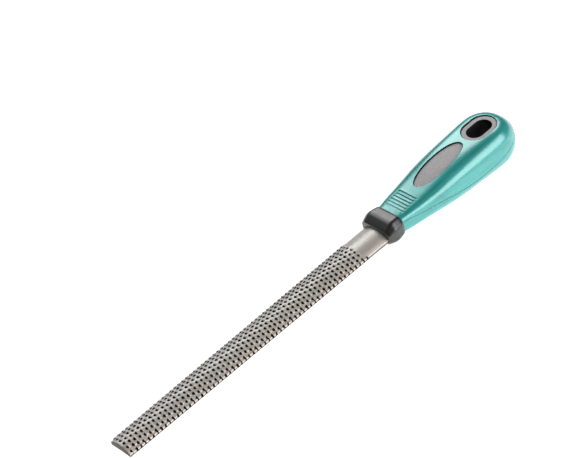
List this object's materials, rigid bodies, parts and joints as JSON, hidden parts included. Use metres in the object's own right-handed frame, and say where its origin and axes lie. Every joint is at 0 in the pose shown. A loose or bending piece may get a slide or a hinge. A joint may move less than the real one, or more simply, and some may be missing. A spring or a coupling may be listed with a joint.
{
  "type": "wood rasp",
  "caption": "Half-round wood rasp: a straight steel blade with raised staggered teeth, a black collar and a moulded two-colour handle with a hang slot.",
  "frame": {"origin": "under the middle of the tool, at the lowest point of the handle's belly", "axes": "+X runs from the tip of the blade to the butt of the handle, +Z points out of the round side of the blade and the flat of the handle, and +Y completes a right-handed frame across the blade"},
  "size_m": [0.311, 0.036, 0.0264],
  "materials": {
    "blade_steel": "fine-ground hardened steel, satin",
    "collar_plastic": "fine-textured black moulding, satin",
    "core_plastic": "fine-grained grey moulding, satin",
    "grip_plastic": "pearl-flecked teal moulding, semi-gloss"
  },
  "bodies": {
    "root": {"blade": "blade_steel", "collar": "collar_plastic", "handle_core": "core_plastic", "grip_shell": "grip_plastic"}
  },
  "joints": []
}
